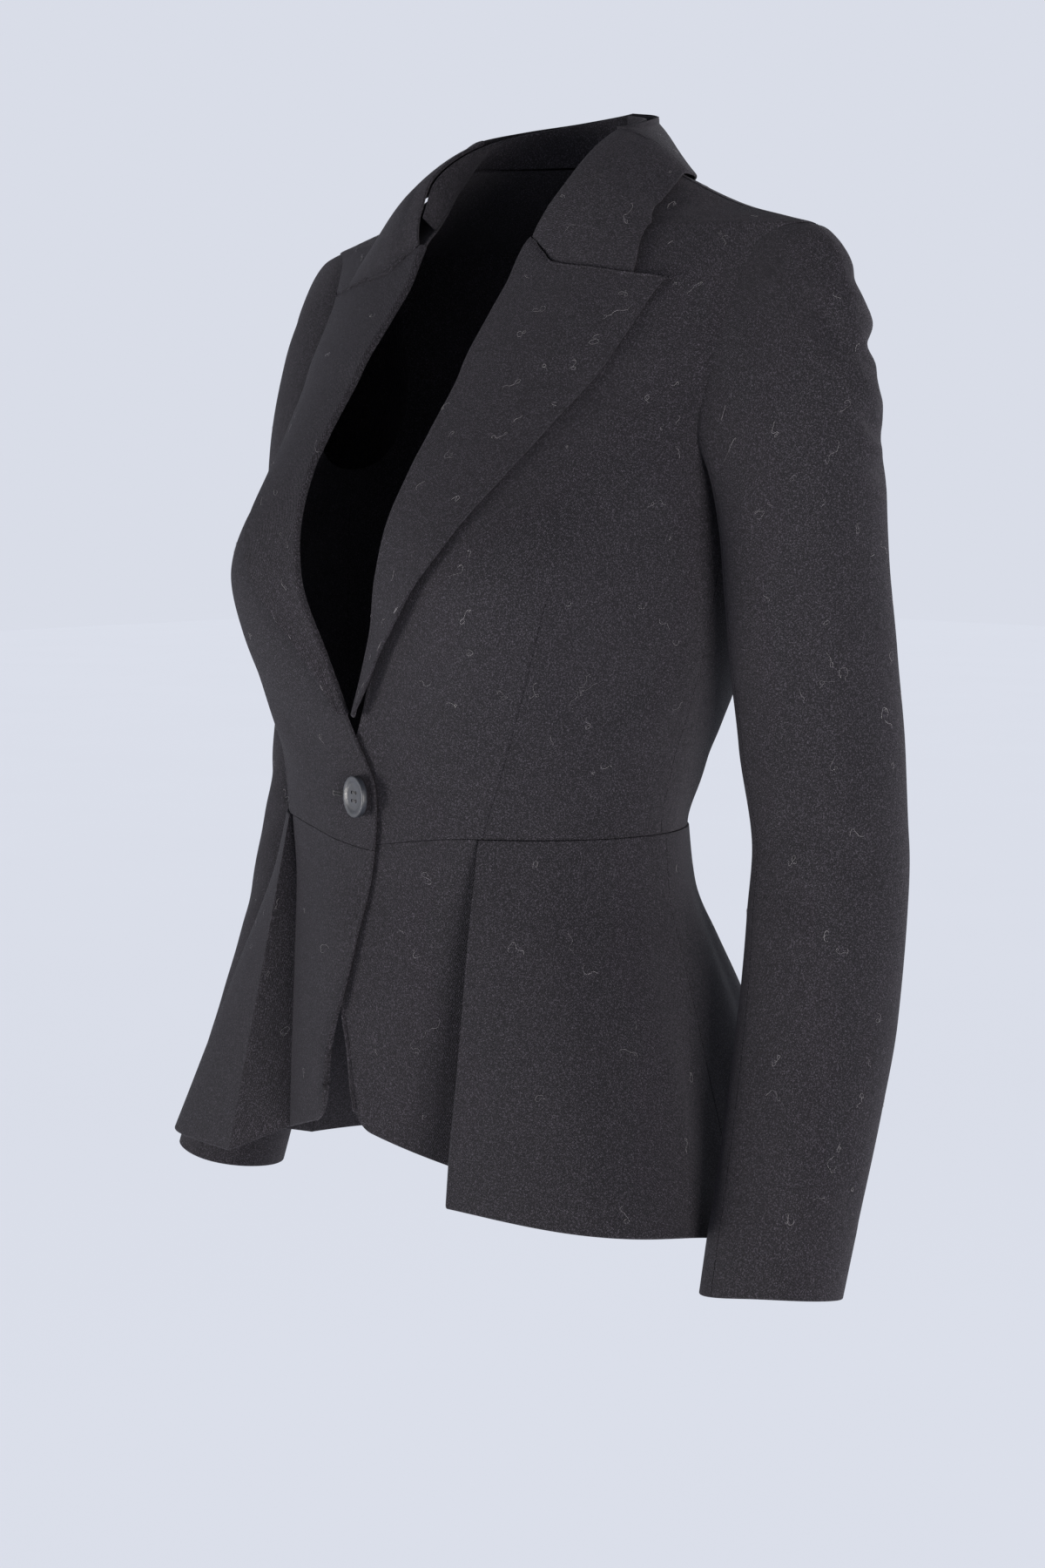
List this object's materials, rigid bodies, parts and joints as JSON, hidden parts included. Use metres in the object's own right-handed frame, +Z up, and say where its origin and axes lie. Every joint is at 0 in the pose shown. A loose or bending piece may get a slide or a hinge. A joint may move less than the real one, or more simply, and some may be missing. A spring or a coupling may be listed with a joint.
{
  "type": "blazer",
  "caption": "Cropped fitted blazer with peak lapels, one button, long two-piece sleeves and a flared, pleated peplum, in its worn shape.",
  "frame": {"origin": "the point between the shoulder seams where the neck and shoulders carry the garment, 350 mm over the waist seam's pleats", "axes": "+Z up, +X to the wearer's left, the fronts facing -Y"},
  "size_m": [0.5228, 0.28, 0.643],
  "materials": {
    "suiting": "matte worsted wool",
    "button": "satin"
  },
  "bodies": {
    "root": {"front_left": "suiting", "front_right": "suiting", "back_left": "suiting", "back_right": "suiting", "lapel_left": "suiting", "lapel_right": "suiting", "collar_fall": "suiting", "collar_stand": "suiting", "upper_sleeve_left": "suiting", "upper_sleeve_right": "suiting", "under_sleeve_left": "suiting", "under_sleeve_right": "suiting", "peplum_front_left": "suiting", "peplum_front_right": "suiting", "peplum_back_left": "suiting", "peplum_back_right": "suiting", "button": "button"}
  },
  "joints": []
}
